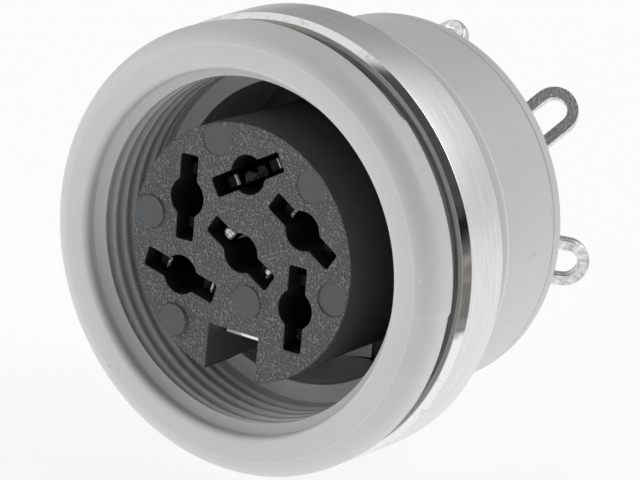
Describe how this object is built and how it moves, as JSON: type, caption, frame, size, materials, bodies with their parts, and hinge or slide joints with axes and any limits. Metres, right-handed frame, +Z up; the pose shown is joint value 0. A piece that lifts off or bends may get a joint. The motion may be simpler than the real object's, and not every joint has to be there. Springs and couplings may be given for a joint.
{
  "type": "panel-mount din socket",
  "caption": "Round panel-mount DIN socket with a screw-locking bore, ring nut, keyed contact insert, shield sleeve and rear solder lugs.",
  "frame": {"origin": "on the axis, in the plane of the flange's back face, which seats on the panel", "axes": "+Y along the axis from the mating face to the solder lugs, +Z up and away from the key notch, +X to the right seen from the front"},
  "size_m": [0.02, 0.0189, 0.02],
  "materials": {
    "housing": "fine moulded satin, light warm grey",
    "ring_nut": "nickel-plated, turned outside with a polished front chamfer",
    "insert": "dark grey, spark-eroded grain with smooth ejector marks",
    "shield_sleeve": "nickel-plated sheet",
    "rear_cover": "fine moulded satin, light warm grey",
    "contact": "tinned sheet, sheared edges"
  },
  "bodies": {
    "root": {"housing": "housing", "ring_nut": "ring_nut", "insert": "insert", "shield_sleeve": "shield_sleeve", "rear_cover": "rear_cover", "contact_1": "contact", "contact_2": "contact", "contact_3": "contact", "contact_4": "contact", "contact_5": "contact", "contact_6": "contact"}
  },
  "joints": []
}
